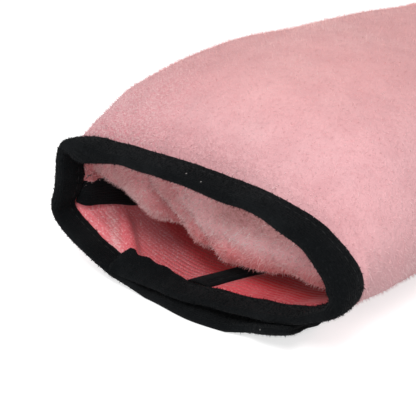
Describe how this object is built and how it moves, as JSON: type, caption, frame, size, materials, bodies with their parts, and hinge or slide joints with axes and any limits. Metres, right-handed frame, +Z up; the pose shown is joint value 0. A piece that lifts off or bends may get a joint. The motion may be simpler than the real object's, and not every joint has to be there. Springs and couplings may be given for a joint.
{
  "type": "seat belt shoulder pad",
  "caption": "Padded plush sleeve that wraps round a seat belt at the shoulder, closes beneath with hook and loop, and has black tape round its open ends.",
  "frame": {"origin": "under the middle of the sleeve, on the surface that it rests on", "axes": "+Y along the belt, away from the mouth that faces the viewer; +Z up, towards the padded top; +X towards the wall that the inner flap comes from"},
  "size_m": [0.128, 0.28, 0.0783],
  "materials": {
    "cover_plush": "soft pile outside, ribbed knit inside",
    "panel_plush": "soft pile",
    "filling_fibre": "loose fibre",
    "binding_tape": "matt knitted tape",
    "fastener_tape": "matt woven tape with loops and hooks"
  },
  "bodies": {
    "root": {"outer_cover": "cover_plush", "inner_panel": "panel_plush", "filling": "filling_fibre", "front_mouth_binding": "binding_tape", "rear_mouth_binding": "binding_tape", "inner_flap_edge_binding": "binding_tape", "outer_flap_edge_binding": "binding_tape", "inner_panel_binding_right": "binding_tape", "inner_panel_binding_left": "binding_tape", "loop_strip": "fastener_tape", "hook_strip": "fastener_tape"}
  },
  "joints": []
}
